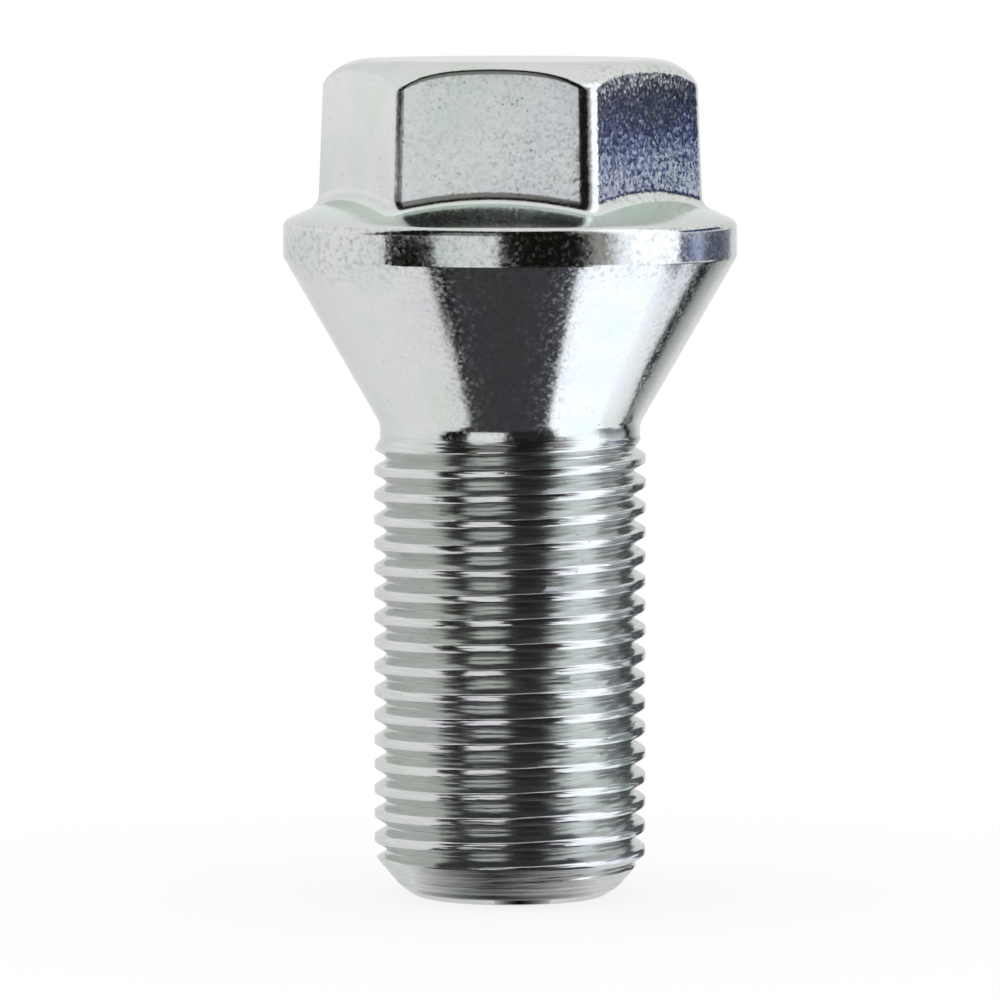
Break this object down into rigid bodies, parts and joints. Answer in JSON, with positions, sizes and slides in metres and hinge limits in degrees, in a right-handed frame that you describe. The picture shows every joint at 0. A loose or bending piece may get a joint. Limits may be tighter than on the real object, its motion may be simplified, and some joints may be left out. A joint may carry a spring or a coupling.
{
  "type": "wheel bolt",
  "caption": "Forged steel wheel bolt: domed hexagon head on a sloped collar, conical seat, plain neck and threaded shank with a chamfered tip. It clamps a road wheel to its hub.",
  "frame": {"origin": "centre of the flat at the tip of the shank, on which the bolt stands", "axes": "+Z along the bolt's axis from the tip to the head; one flat of the hexagon faces -Y"},
  "size_m": [0.023, 0.023, 0.0425],
  "materials": {
    "zinc_plated_steel": "bright zinc plate, clear passivated"
  },
  "bodies": {
    "root": {"wheel_bolt": "zinc_plated_steel"}
  },
  "joints": []
}
